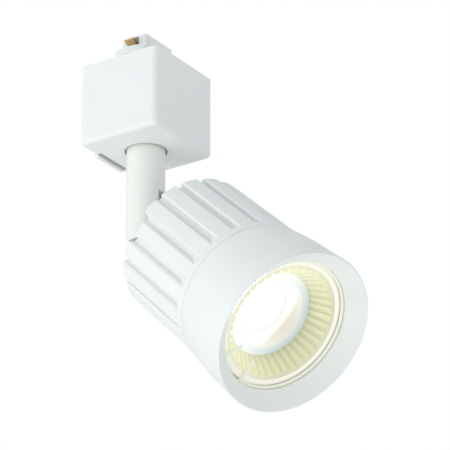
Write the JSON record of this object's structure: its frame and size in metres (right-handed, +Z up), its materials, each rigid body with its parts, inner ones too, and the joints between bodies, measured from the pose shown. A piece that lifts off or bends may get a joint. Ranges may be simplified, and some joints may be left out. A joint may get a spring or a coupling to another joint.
{
  "type": "track spotlight",
  "caption": "White track spotlight: square track adapter, turning stem, tilting finned head with a flared bevelled mouth and a reflector lamp.",
  "frame": {"origin": "on the stem's axis, in the plane of the adapter's shoulder, where the track's underside rests", "axes": "+Z up, out of the adapter into the track; X along the track; the head points towards +X and down at rest"},
  "size_m": [0.0967, 0.0677, 0.1501],
  "materials": {
    "white_plastic": "matt white moulded polycarbonate",
    "natural_nylon": "natural nylon",
    "zinc_steel": "bright zinc plate",
    "contact_brass": "spring brass",
    "pin_brass": "nickel-plated brass",
    "brown_sleeve": "brown PVC sleeve",
    "blue_sleeve": "blue PVC sleeve",
    "green_sleeve": "green and yellow PVC sleeve",
    "white_paint": "satin white powder coat on steel",
    "white_spring_wire": "white-coated spring steel wire",
    "white_coated_aluminium": "satin white powder coat on die-cast aluminium",
    "steatite": "unglazed white steatite",
    "grommet_rubber": "white silicone rubber",
    "lamp_white": "glossy white thermoplastic",
    "board_green": "green circuit board",
    "bezel_silver": "metallised plastic",
    "led_light": "lit LED board",
    "lens_light": "clear moulded lens, lit"
  },
  "bodies": {
    "adapter": {"adapter_housing": "white_plastic", "contact_carrier": "white_plastic", "carrier_screws": "zinc_steel", "live_contact": "contact_brass", "neutral_contact": "contact_brass", "earth_contact": "contact_brass", "terminal_block": "natural_nylon", "terminal_screws": "zinc_steel", "live_lead": "brown_sleeve", "neutral_lead": "blue_sleeve", "earth_lead": "green_sleeve", "swivel_bush": "natural_nylon", "tab_spring": "zinc_steel"},
    "release_tab": {"release_tab": "white_plastic"},
    "stem": {"stem": "white_paint", "thrust_washer": "natural_nylon", "stop_washer": "zinc_steel", "wave_washer": "zinc_steel", "stem_nut": "zinc_steel", "pivot_screw": "zinc_steel", "pivot_spring_washer": "zinc_steel", "friction_washer": "natural_nylon"},
    "head": {"head_body": "white_coated_aluminium", "front_ring": "white_coated_aluminium", "retaining_clip": "white_spring_wire", "lamp_holder": "steatite", "holder_bracket": "zinc_steel", "holder_screws": "zinc_steel", "lead_grommet": "grommet_rubber", "holder_live_lead": "brown_sleeve", "holder_neutral_lead": "blue_sleeve", "head_earth_lead": "green_sleeve", "earth_terminal": "contact_brass", "earth_screw": "zinc_steel"},
    "lamp": {"lamp_body": "lamp_white", "lamp_base": "lamp_white", "lamp_pins": "pin_brass", "lamp_driver": "board_green", "led_board": "led_light", "lamp_bezel": "bezel_silver", "lamp_lens": "lens_light"}
  },
  "joints": [
    {"name": "tab_release", "type": "slide", "parent": "adapter", "child": "release_tab", "axis": [0, 0, -1], "range_m": [0, 0.004], "stiffness_N_per_m": 600, "springref_m": -0.004, "deforming": ["tab_spring"]},
    {"name": "stem_turn", "type": "hinge", "parent": "adapter", "child": "stem", "pos_m": [0, 0, 0], "axis": [0, 0, 1], "range_deg": [-165, 165]},
    {"name": "head_tilt", "type": "hinge", "parent": "stem", "child": "head", "pos_m": [0, 0, -0.0615], "axis": [0.1822, 0.9833, 0], "range_deg": [-13, 107]},
    {"name": "lamp_twist", "type": "hinge", "parent": "head", "child": "lamp", "pos_m": [0.01669, 0.01623, -0.07405], "axis": [0.7191, -0.1333, -0.682], "range_deg": [0, 25]}
  ]
}
